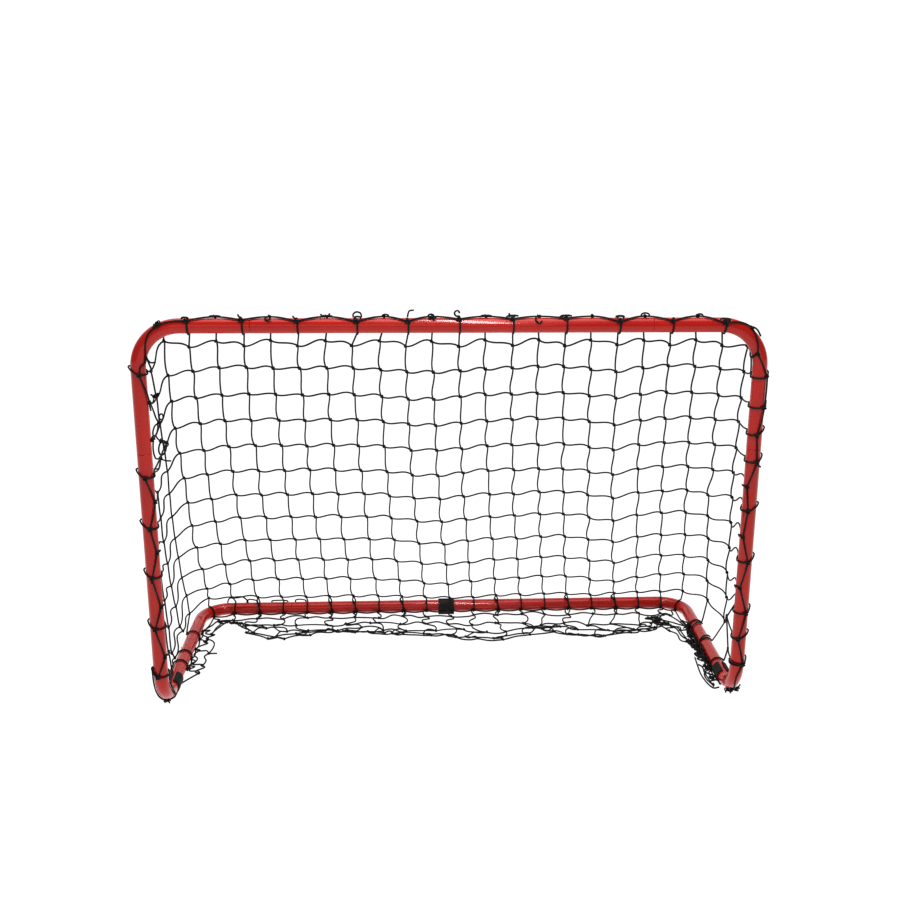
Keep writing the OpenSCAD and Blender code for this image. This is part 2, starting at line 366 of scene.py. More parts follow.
def grey(value):
    return (value,) * 3


def paint_material():
    """Glossy red powder coat: orange peel, faint colour drift and scuffs."""
    paint = Surface("red_powder_coat")
    drift = paint.noise(9.0, 3.0)
    colour = paint.ramp(drift, 0.3, 0.7, (0.50, 0.012, 0.005), (0.57, 0.017, 0.007))
    scuff = paint.noise(60.0, 8.0, 0.72)
    mix = paint.nodes.new("ShaderNodeMix")
    mix.data_type = "RGBA"
    paint.links.new(paint.ramp(scuff, 0.66, 0.74, grey(0), grey(1)), mix.inputs["Factor"])
    paint.links.new(colour, mix.inputs["A"])
    mix.inputs["B"].default_value = (0.42, 0.035, 0.025, 1)
    paint.link(mix.outputs["Result"], "Base Color")
    paint.link(paint.ramp(scuff, 0.45, 0.75, grey(0.27), grey(0.38)), "Roughness")
    paint.set(Specular_IOR_Level=0.3, Coat_Weight=0.8, Coat_Roughness=0.07)
    peel = paint.bump(paint.noise(700.0, 2.0), 0.025, 0.0004)
    paint.link(paint.bump(drift, 0.03, 0.002, peel), "Normal")
    return paint.material


def rubber_material():
    """Matt black rubber with a fine moulded grain and pale dust."""
    rubber = Surface("black_rubber")
    dust = rubber.noise(45.0, 6.0, 0.6)
    colour = rubber.ramp(dust, 0.45, 0.8, (0.010, 0.010, 0.011), (0.045, 0.043, 0.040))
    rubber.link(colour, "Base Color")
    rubber.link(rubber.ramp(dust, 0.3, 0.7, grey(0.55), grey(0.8)), "Roughness")
    rubber.link(rubber.bump(rubber.noise(900.0, 2.0), 0.35, 0.0004), "Normal")
    return rubber.material


def steel_material(name, colour, roughness):
    """Plated steel: fine brushing and a little tarnish."""
    steel = Surface(name)
    tarnish = steel.noise(160.0, 5.0)
    dull = tuple(0.75 * c for c in colour)
    steel.link(steel.ramp(tarnish, 0.4, 0.75, colour, dull), "Base Color")
    steel.link(steel.ramp(tarnish, 0.3, 0.7, grey(roughness), grey(roughness + 0.15)), "Roughness")
    steel.set(Metallic=1.0)
    steel.link(steel.bump(steel.noise(1500.0, 2.0), 0.15, 0.0002), "Normal")
    return steel.material


PLIES = 3.0
LAY = 0.011                  # length of twine in which the plies turn once


def twine_material():
    """Black polyethylene twine: plies twisted together, with faded, fuzzy patches."""
    twine = Surface("black_twine")
    lay = twine.nodes.new("ShaderNodeAttribute")
    lay.attribute_name = "twine_uv"
    apart = twine.nodes.new("ShaderNodeSeparateXYZ")
    twine.links.new(lay.outputs["Vector"], apart.inputs["Vector"])
    plies = twine.math("MULTIPLY", apart.outputs["X"], PLIES)
    turns = twine.math("MULTIPLY_ADD", apart.outputs["Y"], PLIES / LAY, plies)
    phase = twine.math("PINGPONG", turns, 0.5)
    fade = twine.noise(35.0, 5.0)
    colour = twine.ramp(fade, 0.35, 0.75, (0.012, 0.012, 0.014), (0.030, 0.029, 0.031))
    twine.link(colour, "Base Color")
    twine.set(Roughness=0.62, Specular_IOR_Level=0.35)
    strands = twine.bump(phase, 0.8, 0.0008)
    twine.link(twine.bump(twine.noise(2500.0, 2.0), 0.4, 0.0002, strands), "Normal")
    return twine.material


SLOT_MATERIALS = {
    "frame_paint": paint_material(),
    "pad_rubber": rubber_material(),
    "button_steel": steel_material("zinc_plate", (0.62, 0.63, 0.66), 0.28),
    "spring_steel": steel_material("spring_steel", (0.36, 0.36, 0.38), 0.35),
    "net_twine": twine_material(),
}


for part in frame["record"]["subparts"]:
    mesh = frame["nodes"][part["node"]].data
    mesh.materials.clear()
    mesh.materials.append(SLOT_MATERIALS[part["material_slot"]])


# -------- where the net's knots are

COLUMNS = 23                 # columns on the crossbar
ROWS = 12                    # rows down the back panel
LAST = COLUMNS - 1
EXTRA = COLUMNS              # the right side's own column, between the last one and the post
RIGHT_FROM, EXTRA_FROM = 7, 5      # first rows of column LAST - 1 in the right side, and of EXTRA
COLUMN_X = -0.852            # first column on the crossbar
COLUMN_STEP = 0.0788
FAN_START = -0.045           # the columns spread towards the rear bar
FAN_STEP = 0.0125
BOW = 0.018                  # and bow outwards on the way down
# distance of each row below the crossbar's axis, down the slope: tight above, slack below
ROW_DOWN = (0.070, 0.178, 0.291, 0.405, 0.524, 0.645, 0.768, 0.889, 1.014, 1.137, 1.255, 1.357)
SCALLOP = 0.011              # the first row rises and falls from column to column
# columns that hang lower than their neighbours: column, how much, over how many columns
DROOPS = ((0.2, 0.0365, 0.95), (9.8, 0.032, 1.7), (12.8, 0.006, 1.0), (16.8, 0.034, 1.05),
          (21.6, 0.022, 0.8))


def row_s(j, i):
    """Distance of row j down the slope, at column i."""
    s = ROW_DOWN[j - 1]
    if j == 1:
        return s + (SCALLOP if i % 2 else -SCALLOP)
    if j == ROWS:
        # it lies on the rear bar in the middle, and again further right
        return s + 0.022 * hump(i, 10.4, 2.1) + 0.018 * hump(i, 15.9, 1.0)
    droop = sum(drop * hump(i, at, width) for at, drop, width in DROOPS)
    return s - 0.010 + droop * (0.75 + 0.07 * (j - 2))


def back_knot(i, j):
    s = row_s(j, i) + wobble(0.003)
    t = s / SLOPE_L
    x = COLUMN_X + COLUMN_STEP * i + (FAN_START + FAN_STEP * i) * t + wobble(0.0025)
    x -= (BOW - 0.0005 * i) * math.sin(math.pi * t)
    if i == 0:
        x += 0.009 * (1 - t)
    return vec(x, FRONT_Y, TOP_Z) + SLOPE * s


# border knots on each post: height above the floor, and angle round the tube (0 front, 90 outside)
POST_BORDER = {
    -1: ((1.110, -16), (1.024, -85), (0.909, -88), (0.796, -5), (0.718, -67), (0.634, -12),
         (0.557, -50), (0.475, -1), (0.378, -51), (0.305, 5), (0.208, -54), (0.141, 10)),
    1: ((1.093, 52), (1.001, 42), (0.915, -1), (0.829, 15), (0.750, -43), (0.670, -22),
        (0.586, -45), (0.501, 6), (0.415, -38), (0.327, 23), (0.237, -23), (0.147, 33)),
}


def post_point(side, z, angle, reach=WRAP_R):
    """Point on a post's surface: angle 0 is the front, 90 the outer side, -90 the inner side."""
    a = math.radians(angle)
    axis = vec(side * POST_X, FRONT_Y, z)
    return axis + reach * vec(side * math.sin(a), -math.cos(a), 0)


def side_knot(side, y, z, out):
    """Knot of a side panel: y behind the front, z above the tubes' undersides, out of the axis."""
    x = side * (POST_X + out) + wobble(0.002)
    return vec(x, FRONT_Y + y + wobble(0.003), z + PAD_BASE + wobble(0.003))


# left side's columns, each running down the panel: first row, then y, its step, z and its step
LEFT_COLUMNS = {
    -1: (1, 0.072, 0.052, 1.097, -0.0955),
    -2: (5, 0.133, 0.056, 0.692, -0.102),
    -3: (7, 0.127, 0.037, 0.520, -0.112),
    -4: (9, 0.110, 0.035, 0.330, -0.105),
}


def left_out(column, j):
    """How far the left side panel bulges out of the tube's plane."""
    full = -0.017 + 0.056 * (1 - math.exp(-((j - 1) / 6.0) ** 2.2))
    return full * {-1: 1.0, -2: 1.0, -3: 0.7, -4: 0.4}[column]


# the last rows of column EXTRA: y, z and out
NEAR_FLOOR = {10: (0.105, 0.320, 0.028), 11: (0.195, 0.212, 0.014), 12: (0.150, 0.110, 0.014)}
LOWEST_KNOT = 0.035          # a side knot's least height


def right_knot(column, j):
    if column == LAST - 1:
        k = j - RIGHT_FROM
        return side_knot(1, 0.412 + 0.019 * k, 0.572 - 0.088 * k, -0.014 + 0.0095 * k)
    if column == LAST:
        y = 0.370 * (1 - math.exp(-(j - 0.5) / 4.0))
        out = -0.028 + 0.080 * (1 - math.exp(-(j - 1) / 4.0)) + 0.010 * max(0, (j - 6) / 6)
        return side_knot(1, y, 1.172 - 0.0955 * (j - 1), out)
    if j in NEAR_FLOOR:
        return side_knot(1, *NEAR_FLOOR[j])
    k = j - EXTRA_FROM
    return side_knot(1, 0.062 + 0.002 * k, 0.740 - 0.092 * k, 0.004)


def on_right(i, j):
    """The back's last column, and the lower part of the one before it, belong to the right side."""
    return i == LAST or i == LAST - 1 and j >= RIGHT_FROM


KNOTS = {}
for j in range(1, ROWS + 1):
    for i in range(COLUMNS):
        KNOTS[i, j] = right_knot(i, j) if on_right(i, j) else back_knot(i, j)
    for column, (first, y, dy, z, dz) in LEFT_COLUMNS.items():
        if j >= first:
            k = j - first
            z_k = max(z + dz * k, LOWEST_KNOT)
            KNOTS[column, j] = side_knot(-1, y + dy * k, z_k, left_out(column, j))
    if j >= EXTRA_FROM:
        KNOTS[EXTRA, j] = right_knot(EXTRA, j)

POST_KNOTS = {
    (side, j): post_point(side, z, angle)
    for side in (-1, 1) for j, (z, angle) in enumerate(POST_BORDER[side], 1)
}


# -------- bars between knots

ROW_OFF = 0.0022             # a row's bar leaves and meets its knots this far from their middles
COLUMN_OFF = 0.0018


def net_bar(twine, a, b, off, leave, arrive):
    """Bar that starts and ends off its knots' middles, its ends leant by leave and arrive."""
    d = b - a
    length = np.linalg.norm(d)
    twine.add(hermite(a + off, b - off, d + length * leave, d + length * arrive))


def row_bar(twine, a, b, up=-SLOPE):
    """Bar along a row, left to right: leaves low, dips, rises and drops into the next knot."""
    leave = -0.30 + wobble(0.22)
    arrive = -0.62 + wobble(0.25)
    out = NORMAL * wobble(0.15)
    off = ROW_OFF * ((b - a) / np.linalg.norm(b - a) - up)
    net_bar(twine, a, b, off, leave * up + out, arrive * up - out)


def column_bar(twine, a, b, across=RIGHT, bend=0.22):
    """Bar down a column: leaves the knot's lower right, arrives at the next one's upper left."""
    leave = wobble(0.12)
    arrive = bend + wobble(0.15)
    out = NORMAL * wobble(0.10)
    net_bar(twine, a, b, COLUMN_OFF * across, leave * across + out, arrive * across - out)


back, left, right_side = Twine(), Twine(), Twine()

for j in range(1, ROWS + 1):
    for i in range(COLUMNS - 1):
        target = right_side if on_right(i + 1, j) else back
        row_bar(target, KNOTS[i, j], KNOTS[i + 1, j])
    for i in range(COLUMNS):
        target = right_side if on_right(i, j) else back
        knot(target, KNOTS[i, j], RIGHT, -SLOPE)
        if j < ROWS:
            column_bar(target, KNOTS[i, j], KNOTS[i, j + 1])

# left side panel: from the back's first column forward and down to the post
for j in range(1, ROWS + 1):
    line = [KNOTS[c, j] for c in (0, *LEFT_COLUMNS) if (c, j) in KNOTS]
    for a, b in zip(line, line[1:]):
        d = b - a
        length = np.linalg.norm(d)
        first = vec(-0.5, -0.35, 0.25) * length
        last = vec(-0.25, -0.55, -0.05) * length
        left.add(hermite(a, b, d * 0.8 + first, d * 0.8 + last))
    for column in LEFT_COLUMNS:
        if (column, j) in KNOTS:
            knot(left, KNOTS[column, j], BACK, UP)
            if (column, j + 1) in KNOTS:
                column_bar(left, KNOTS[column, j], KNOTS[column, j + 1], BACK, 0.15)
            if (column, j - 1) not in KNOTS and column != -1:
                column_bar(left, POST_KNOTS[-1, j - 1], KNOTS[column, j], BACK, 0.1)

# right side panel
for j in range(EXTRA_FROM, ROWS + 1):
    here = KNOTS[EXTRA, j]
    if j < ROWS:
        row_bar(right_side, KNOTS[LAST, j + 1], here, UP)
    knot(right_side, here, BACK, UP)
    if j < ROWS:
        column_bar(right_side, here, KNOTS[EXTRA, j + 1], BACK, 0.15)
    if j == EXTRA_FROM:
        column_bar(right_side, POST_KNOTS[1, j - 1], here, BACK, 0.1)


# -------- borders on the posts


def round_post(side, z0, z1, a0, a1, reach, steps, bulge=0.0):
    """Points round a post from angle a0 at height z0 to angle a1 at height z1."""
    return [
        post_point(side, z0 + (z1 - z0) * t, a0 + (a1 - a0) * t,
                   reach + bulge * math.sin(math.pi * t))
        for t in np.linspace(0, 1, steps)
    ]


def post_border(side, twine, last_columns):
    for j in range(1, ROWS + 1):
        here = POST_KNOTS[side, j]
        z, angle = POST_BORDER[side][j - 1]
        rung_from = last_columns(j)
        if j > 1 or side < 0:
            knot(twine, here, RIGHT, UP, 1.25)
        if j < ROWS and not (side < 0 and j in (2, 3)):
            z1, angle1 = POST_BORDER[side][j]
            twine.add(round_post(side, z, z1, angle, angle1, WRAP_R + 0.0005, 10, 0.001))
        if angle > -30:
            # once round the post: outer side, back, inner side and across the front face again
            ring = []
            for a in np.linspace(angle, 360 + angle, 26):
                rise = 0.024 * math.sin(math.pi * min(max((a - angle) / (255 - angle), 0), 1))
                stand = 0.0035 * math.exp(-((a - 96 - angle / 6) / 16) ** 2)
                ring.append(post_point(side, z + rise, a, WRAP_R + stand))
            twine.add(ring)
            inner = post_point(side, z + 0.010, 228)
            twine.curve([rung_from, 0.5 * (rung_from + inner) - 0.004 * UP, inner])
            # second turn beside the knot
            lie = WRAP_R + 0.0015
            twine.add(round_post(side, z + 0.003, z + 0.005, angle - 28, angle + 16, lie, 6, 0.002))
        else:
            inner = post_point(side, z - 0.001, -110)
            twine.curve([rung_from, 0.5 * (rung_from + inner) - 0.008 * UP, inner, here])


def left_last(j):
    """The left side's rows end at the column nearest the post."""
    return KNOTS[min(c for c in LEFT_COLUMNS if (c, j) in KNOTS), j]


def right_last(j):
    """The right side's rows slope up by one knot on their way to the post."""
    return KNOTS[EXTRA, j] if j >= EXTRA_FROM else KNOTS[LAST, j + 1]


border_left, border_right = Twine(), Twine()
post_border(-1, border_left, left_last)
post_border(1, border_right, right_last)


# -------- border on the crossbar


def corner_point(side, bend, angle, reach=WRAP_R):
    """Point on a top corner: bend 0 at the crossbar, 90 at the post; angle 0 front, 90 outside."""
    b, a = math.radians(bend), math.radians(angle)
    radial = vec(side * math.sin(b), 0, math.cos(b))
    centre = vec(side * (POST_X - TOP_BEND_R), FRONT_Y, TOP_Z - TOP_BEND_R)
    return centre + radial * (TOP_BEND_R + reach * math.sin(a)) - BACK * (reach * math.cos(a))


def bar_point(x, angle, reach=WRAP_R):
    """Point on the crossbar or its bends: angle 0 is the front, 90 the top, 180 the back."""
    beyond = max(abs(x) - (POST_X - TOP_BEND_R), 0) / TOP_BEND_R
    point = corner_point(math.copysign(1, x), math.degrees(math.asin(min(beyond, 1))), angle, reach)
    if not beyond:
        point[0] = x
    return point


def bar_strand(twine, x, *spots):
    """Strand on the bar. Each spot is a place beside x, an angle and a height above the bar."""
    twine.curve([bar_point(x + across, angle, WRAP_R + up) for across, angle, up in spots])


TOP_PASS = 99                # angle at which the even columns pass over the bar
FRONT_PASS = (44, 50, 40, 38, 38, 55, 56, 62, 32, 38, 18)      # and each odd one over its front
border_top = Twine()


def bar_place(i):
    """Column i's place on the crossbar, and its knot's angle."""
    x = COLUMN_X + COLUMN_STEP * i + 0.018 * hump(i, 7.5, 1.6)
    if i == 0:
        return x, 40
    if i == LAST:
        return 0.872, 62
    return x, FRONT_PASS[i // 2] if i % 2 else TOP_PASS


def arch(twine, x, width, height, angle):
    """Slack twine standing on the bar."""
    shape = ((-0.50, 0), (-0.48, 0.6), (-0.10, 1), (0.40, 0.75), (0.50, 0))
    bar_strand(twine, x, *((across * width, angle, up * height) for across, up in shape))


def curl(twine, x, size):
    """Free end that rolls up above the bar."""
    points = [bar_point(x + 0.002, 84, WRAP_R + 0.001)]
    for k in range(9):
        a = -0.9 * math.pi / 2 - k * math.pi / 5
        r = size * (1 - 0.065 * k)
        stand = WRAP_R + 1.15 * size + r * math.sin(a)
        points.append(bar_point(x - 0.004 + r * math.cos(a), 84, stand))
    twine.curve(points, 3)


def hook(twine, x, drop):
    """Free end that hangs over the bar's front and turns up again."""
    bar_strand(twine, x, (-0.004, 92, 0), (-0.010, 74, 0.001), (-0.010, 90 - 0.7 * drop, 0),
               (-0.001, 90 - drop, 0.001), (0.007, 90 - 0.8 * drop, 0.004))


# arches at some of the crossbar's knots: place beside the knot, width, height and angle
ARCHES = {
    1: ((-0.003, 0.018, 0.006, 62),),
    7: ((0.003, 0.024, 0.016, 82), (0.004, 0.018, 0.006, 66)),
    8: ((0.006, 0.018, 0.007, 92),),
    10: ((-0.004, 0.016, 0.008, 88), (-0.003, 0.014, 0.006, 66)),
    17: ((0.003, 0.024, 0.005, 74), (0.004, 0.018, 0.006, 66)),
    18: ((0, 0.024, 0.011, 86),),
    20: ((0.006, 0.018, 0.007, 92),),
    21: ((-0.001, 0.026, 0.005, 48), (0.003, 0.016, 0.004, 40)),
}


def free_ends(twine, i, x, angle):
    """The loose end at each knot of the crossbar."""
    if i in (3, 5):
        tail(twine, bar_point(x, angle, WRAP_R + 0.002), vec(-0.5, 0.1, 0.9), 0.019, 0.3)
    elif i == 9:
        bar_strand(twine, x, (0, 80, 0), (0.002, 86, 0.010), (0.006, 88, 0.018), (0.019, 88, 0.020))
    elif i in (4, 14):
        hook(twine, x, 44 if i == 4 else 68)
    elif i == 11:
        curl(twine, x, 0.0105)
    elif i in (2, 6, 12, 13, 15):
        # turns of twine pulled together flat on the bar
        for n in range(3):
            bar_strand(twine, x - 0.018 + 0.007 * n, (0, 76 + 5 * n, 0.001), (0.010, 90, 0.004),
                       (0.022, 84 + 4 * n, 0.002))
        if i == 6:
            tail(twine, bar_point(x - 0.012, 92), vec(-0.4, 0, 1), 0.010, 0.2)
            tail(twine, bar_point(x + 0.006, 92), vec(0.5, 0, 1), 0.012, 0.2)
        if i == 13:
            tail(twine, bar_point(x - 0.006, 88), vec(-0.5, 0, 1), 0.012, 0.2)
    elif i == 16:
        tail(twine, bar_point(x, 92), UP, 0.008, 0.2)
    for across, width, height, at in ARCHES.get(i, ()):
        arch(twine, x + across, width, height, at)
    if i == 10:
        hook(twine, x + 0.004, 34)


SEEN_FROM = 10               # angle above the level from which the scallops' heights are laid out

for i in range(COLUMNS):
    x, angle = bar_place(i)
    first = KNOTS[i, 1]
    place = bar_point(x, angle, WRAP_R + 0.0015)
    if i % 2:
        # under the bar and up its front
        path = [bar_point(x + 0.003, a) for a in (-130, -95, -60, -25, 5, 0.6 * angle)]
        up, size = vec(0, 0.5, 1), 1.7
    else:
        # up behind the bar
        path = [bar_point(x + 0.001, a) for a in (-170, 165, 135, 112)]
        up, size = vec(0, 1, 0.3), 1.2 if i else 1.8
    border_top.curve([first, 0.5 * (first + path[0])] + path + [place], 3)
    knot(border_top, place, RIGHT, up, size)
    if i == 0:
        knot(border_top, bar_point(x + 0.008, 48, WRAP_R + 0.003), RIGHT, UP, 1.6)
    free_ends(border_top, i, x, angle)
    if i < LAST:
        x1, angle1 = bar_place(i + 1)
        points = []
        for t in np.linspace(0, 1, 14):
            # climbs quickly to the top of the bar and stays there
            h0, h1 = (math.sin(math.radians(a - SEEN_FROM)) for a in (angle, angle1))
            t1 = math.sin(math.pi / 2 * t) if h1 > h0 else 1 - math.cos(math.pi / 2 * t)
            over = SEEN_FROM + math.degrees(math.asin(min(h0 + (h1 - h0) * t1, 1)))
            points.append(bar_point(x + (x1 - x) * t, over, WRAP_R + 0.0006))
        border_top.add(points)


# -------- border round the top corners


def corner_left(twine):
    bend = (38, 24), (50, -8), (62, -40), (72, -60), (80, -62)
    path = [corner_point(-1, b, a) for b, a in bend]
    path += [post_point(-1, 1.135, -30), POST_KNOTS[-1, 1]]
    twine.curve([bar_point(*bar_place(0))] + path)
    knot(twine, corner_point(-1, 72, -62, WRAP_R + 0.001), RIGHT, UP, 1.1)
    # rung from the corner's inner edge to the first column
    inner = corner_point(-1, 74, -80)
    twine.curve([inner, inner + vec(0.006, 0.012, -0.012), inner + vec(0.018, 0.024, -0.014)], 6)
    twine.curve([inner, inner + vec(0.004, 0.03, -0.04), KNOTS[-1, 1]], 6)


def corner_right(twine):
    turn = post_point(1, 1.168, -38)
    path = [corner_point(1, b, a) for b, a in ((46, 34), (56, 6), (68, -18))]
    path += [turn, post_point(1, 1.132, 6), POST_KNOTS[1, 1]]
    twine.curve([bar_point(*bar_place(LAST))] + path)
    knot(twine, post_point(1, 1.168, -36, WRAP_R + 0.002), RIGHT, UP, 1.5)
    # slack second strand that stands off the bend
    twine.curve([
        corner_point(1, b, a, WRAP_R + stand)
        for b, a, stand in ((36, 60, 0), (40, 82, 0.003), (46, 90, 0.004), (53, 84, 0))
    ])
    inner = post_point(1, 1.155, -88)
    twine.curve([KNOTS[LAST, 1], 0.5 * (KNOTS[LAST, 1] + inner) + 0.004 * UP, inner, turn])
    twine.curve([turn, inner, post_point(1, 1.128, -104), post_point(1, 1.105, -112)])


corner_left(border_top)
corner_right(border_top)


# -------- skirt on the floor

# skirt columns on the side tubes, behind the front
LEFT_YS = (0.270, 0.345, 0.420, 0.495, 0.565)
RIGHT_YS = (0.125, 0.215, 0.300, 0.370, 0.440, 0.520)
REAR_COLUMNS = 21
REAR_0 = len(LEFT_YS)                               # the skirt's first column on the rear bar
REAR_END = REAR_0 + REAR_COLUMNS


def skirt_places():
    """Columns of the skirt, from the left foot round the back to the right foot: x, y, inward."""
    places = [(-POST_X, FRONT_Y + y, RIGHT) for y in LEFT_YS]
    straight = POST_X - REAR_BEND_R
    for i in range(REAR_COLUMNS):
        x = COLUMN_X + FAN_START + (COLUMN_STEP + FAN_STEP) * i
        x = max(-POST_X + 0.02, min(POST_X - 0.02, x))
        if abs(x) > straight:
            side = math.copysign(1, x)
            bend = math.asin(min((abs(x) - straight) / REAR_BEND_R, 0.98))
            y = REAR_Y - REAR_BEND_R * (1 - math.cos(bend))
            places.append((x, y, vec(-side * math.sin(bend), -math.cos(bend), 0)))
        else:
            places.append((x, REAR_Y, -BACK))
    places += [(POST_X, FRONT_Y + y, -RIGHT) for y in reversed(RIGHT_YS)]
    return places


PLACES = skirt_places()


def tube_point(place, angle, reach=WRAP_R):
    """Point on a ground tube: angle 180 is its outer side, 90 the top, 0 the inner side."""
    x, y, inward = place
    a = math.radians(angle)
    return vec(x, y, GROUND_Z) + reach * (inward * math.cos(a) + UP * math.sin(a))


ANCHORS = [tube_point(place, -26) for place in PLACES]      # knots of the net's last row

# distance of the skirt's slack edge in front of the rear bar's axis: x and distance
EDGE_X, EDGE = zip(*(
    (-0.86, 0.070), (-0.80, 0.100), (-0.75, 0.120), (-0.70, 0.190), (-0.65, 0.205), (-0.60, 0.250),
    (-0.54, 0.195), (-0.43, 0.165), (-0.20, 0.190), (-0.05, 0.220), (0.19, 0.250), (0.36, 0.190),
    (0.53, 0.250), (0.75, 0.200), (0.82, 0.150),
))


def edge_reach(c):
    """Distance of the skirt's slack edge from the tube's axis."""
    x, y = PLACES[c][:2]
    if c < REAR_0:
        return 0.040 + 0.010 * math.sin(30 * y)
    if c >= REAR_END:
        return 0.036 + 0.075 * hump(y - FRONT_Y, 0.56, 0.10) + 0.010 * hump(y - FRONT_Y, 0.16, 0.05)
    return float(np.interp(x, EDGE_X, EDGE))


def middle_reach(c):
    """Distance of the skirt's second row from the tube's axis."""
    if c < REAR_0:
        return 0.058
    if c >= REAR_END:
        return TUBE_R + 0.008
    return min(0.118 + 0.034 * PLACES[c][0], 0.72 * edge_reach(c))


S_CURVES = 0.65              # share of slack bars that bend both ways


def bar_curve(rand, a, b, rest):
    """Slack bar between two knots: bends sideways until it is about as long as the real one."""
    d = b - a
    chord = max(np.linalg.norm(d), 1e-4)
    slack = max(rest - chord, 0)
    across = np.cross(d / chord, UP) + UP * rand.uniform(0, 0.3)
    across /= max(np.linalg.norm(across), 1e-6)
    one = math.sqrt(3 * chord * slack / 8) * rand.choice((-1, 1))
    t = np.linspace(0, 1, 12)[:, None]
    if rand.random() < S_CURVES:
        size = math.copysign(min(abs(one) / 2, 0.20 * chord + 0.003), one)
        uneven = 1 + 0.35 * rand.uniform(-1, 1) * np.cos(math.pi * t)
        sway = size * np.sin(2 * math.pi * t) * uneven
    else:
        size = math.copysign(min(abs(one), 0.27 * chord + 0.004), one)
        sway = size * np.sin(math.pi * t) ** 0.8
    kink = 0.0025 * rand.uniform(-1, 1) * np.sin(3 * math.pi * t)
    lift = rand.uniform(0, 0.006) * np.sin(math.pi * t)
    points = a + d * t + across * (sway + kink) + UP * lift
    points[:, 2] = np.maximum(points[:, 2], FLOOR_LIE)
    return points


skirt_rear, skirt_left, skirt_right = Twine(), Twine(), Twine()
SIDE_STRIP = 0.13            # the side skirts reach this far in from the posts


def skirt_part(p):
    if abs(p[0]) < POST_X - SIDE_STRIP:
        return skirt_rear
    return skirt_left if p[0] < 0 else skirt_right


def skirt_spot(rand, c, r):
    """Knot of the skirt: row 1 beside the tube, 2 and 3 half way, 4 and 5 on the slack edge."""
    x, y, inward = PLACES[c]
    along = np.cross(inward, UP)
    rear = REAR_0 <= c < REAR_END
    middle, edge = middle_reach(c), edge_reach(c)
    reach = (0.046, middle, 0.45 * middle + 0.55 * edge, edge - 0.012, edge)[r - 1]
    slide = (0.002, 0.020, -0.026, 0.024, -0.012)[r - 1]
    if rear:
        reach += rand.uniform(-1, 1) * (0.007, 0.014, 0.014, 0.008, 0.004)[r - 1]
        slide += rand.uniform(-1, 1) * (0.006, 0.020, 0.020, 0.020, 0.016)[r - 1]
        lift = rand.uniform(0, 0.005)
    else:
        reach += rand.uniform(-0.010, 0.010) - (0.012 if r == 1 else 0)
        slide += rand.uniform(-0.020, 0.020)
        lift = rand.uniform(0, 0.026)
    return vec(x, y, FLOOR_LIE + lift) + inward * max(reach, TUBE_R + 0.005) + along * slide


def skirt_rows(c):
    """Fewer rows hang free along the left side, in its corner and at the right foot."""
    if c < REAR_0:
        return 2
    return 3 if c < REAR_0 + 2 or c > len(PLACES) - 3 else 5


COLUMN_REST, ROW_REST = 0.095, 0.105        # length of the skirt's bars


def make_skirt():
    """The net's last rows lie slack inside the ground tubes, folded on their edge."""
    rand = random.Random(SKIRT_SEED)
    spots = {}
    for c in range(len(PLACES)):
        spots[c, 0] = ANCHORS[c]
        for r in range(1, skirt_rows(c) + 1):
            spots[c, r] = skirt_spot(rand, c, r)
    for (c, r), a in spots.items():
        if r:
            knot(skirt_part(a), a + 0.001 * UP, RIGHT, vec(0, 1, 0.2))
        if (c, r + 1) in spots:
            b = spots[c, r + 1]
            skirt_part(0.5 * (a + b)).add(bar_curve(rand, a, b, COLUMN_REST))
    for c in range(len(PLACES) - 1):
        # extra rows run into the last row beside them
        here, beside = skirt_rows(c), skirt_rows(c + 1)
        for r in range(1, max(here, beside) + 1):
            a, b = spots[c, min(r, here)], spots[c + 1, min(r, beside)]
            skirt_part(0.5 * (a + b)).add(bar_curve(rand, a, b, ROW_REST))
    return spots


SPOTS = make_skirt()


# -------- last row on the ground tubes

border_rear = Twine()


def ground_border(c):
    if c < REAR_0:
        return border_left
    return border_right if c >= REAR_END else border_rear


def over_tube(place, start_angle, end_angle, steps=7, reach=WRAP_R, slide=0.0):
    """Points over a ground tube, moving along it by slide."""
    along = np.cross(place[2], UP)
    return [
        tube_point(place, angle, reach) + along * slide * t
        for t, angle in zip(np.linspace(0, 1, steps), np.linspace(start_angle, end_angle, steps))
    ]


DOUBLED = (2, 5, 6, 8, 12, 15, 17)          # columns whose last bars lie double over the rear bar
for c, place in enumerate(PLACES):
    twine = ground_border(c)
    along = np.cross(place[2], UP)
    knot(twine, ANCHORS[c], along, UP, 1.1)
    i = c - REAR_0
    if 0 <= i < REAR_COLUMNS:
        top = KNOTS[i, ROWS]
        twine.curve([top] + over_tube(place, 108, -20) + [ANCHORS[c]], 3)
        if i in DOUBLED:
            beside = [p + along * 0.012 for p in over_tube(place, 112, -28, slide=-0.02)]
            twine.curve([top] + beside + [SPOTS[c, 1]], 3)
    if c:
        a, b = ANCHORS[c - 1], ANCHORS[c]
        twine.curve([a, 0.5 * (a + b) + 0.004 * (place[2] - UP), b])

# slack loops that stand a little above the rear bar near its left end, and go down behind it
for x, width, rise, lean in ((-0.800, 0.075, 0.020, 0.2), (-0.745, 0.040, 0.009, -0.1),
                             (-0.640, 0.060, 0.004, 0.2), (-0.560, 0.040, 0.007, 0.0)):
    border_rear.curve([
        tube_point((x + across * width, REAR_Y, -BACK), angle, WRAP_R + rise * up)
        for angle, across, up in ((165, -0.52, 0), (125, -0.50, 0.1), (108, -0.36, 0.75),
                                  (104, lean, 1), (112, 0.42, 0.5), (130, 0.50, 0.1),
                                  (165, 0.54, 0))
    ])

# the side panels' last bars go over the side tubes
for twine, column, c in ((border_left, -4, 0), (border_left, -3, 1), (border_left, -1, 3),
                         (border_right, EXTRA, -2), (border_right, LAST, -4),
                         (border_right, LAST - 1, -6)):
    twine.curve([KNOTS[column, ROWS]] + over_tube(PLACES[c], 150, -20) + [ANCHORS[c]], 3)


